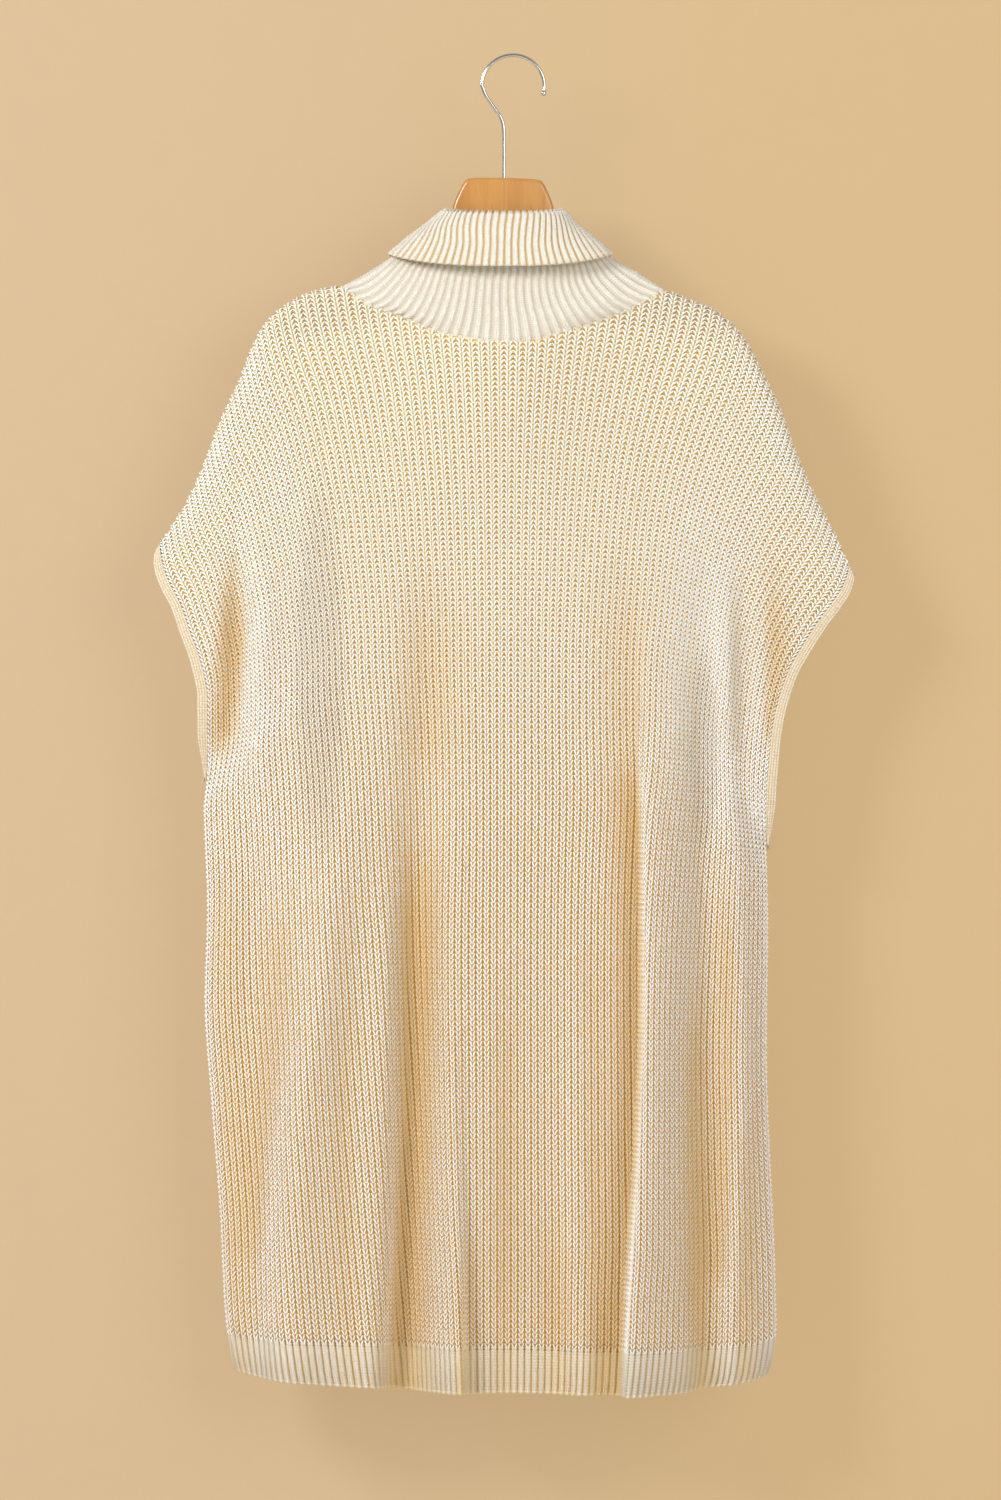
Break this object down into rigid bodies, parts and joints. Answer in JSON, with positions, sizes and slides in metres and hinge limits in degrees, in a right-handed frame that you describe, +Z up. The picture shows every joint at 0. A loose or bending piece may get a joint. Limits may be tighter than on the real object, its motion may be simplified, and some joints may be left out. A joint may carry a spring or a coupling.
{
  "type": "tunic sweater on a hanger",
  "caption": "Wide sleeveless knitted tunic with a turned-down ribbed collar, hanging on a wooden hanger with a wire hook.",
  "frame": {"origin": "inside of the hook's crown, where a rail or peg carries it", "axes": "+Z up, +X to the right seen from behind the tunic, +Y towards the tunic's front"},
  "size_m": [0.5959, 0.0992, 1.1383],
  "materials": {
    "knit": "chunky cream half-cardigan knit",
    "rib": "cream ribbed knit",
    "wood": "clear lacquered",
    "steel": "polished"
  },
  "bodies": {
    "root": {"back_panel": "knit", "front_panel": "knit", "back_hem_rib": "rib", "front_hem_rib": "rib", "collar": "rib", "armhole_band_left": "rib", "armhole_band_right": "rib", "hanger_wood": "wood", "hanger_hook": "steel"}
  },
  "joints": []
}
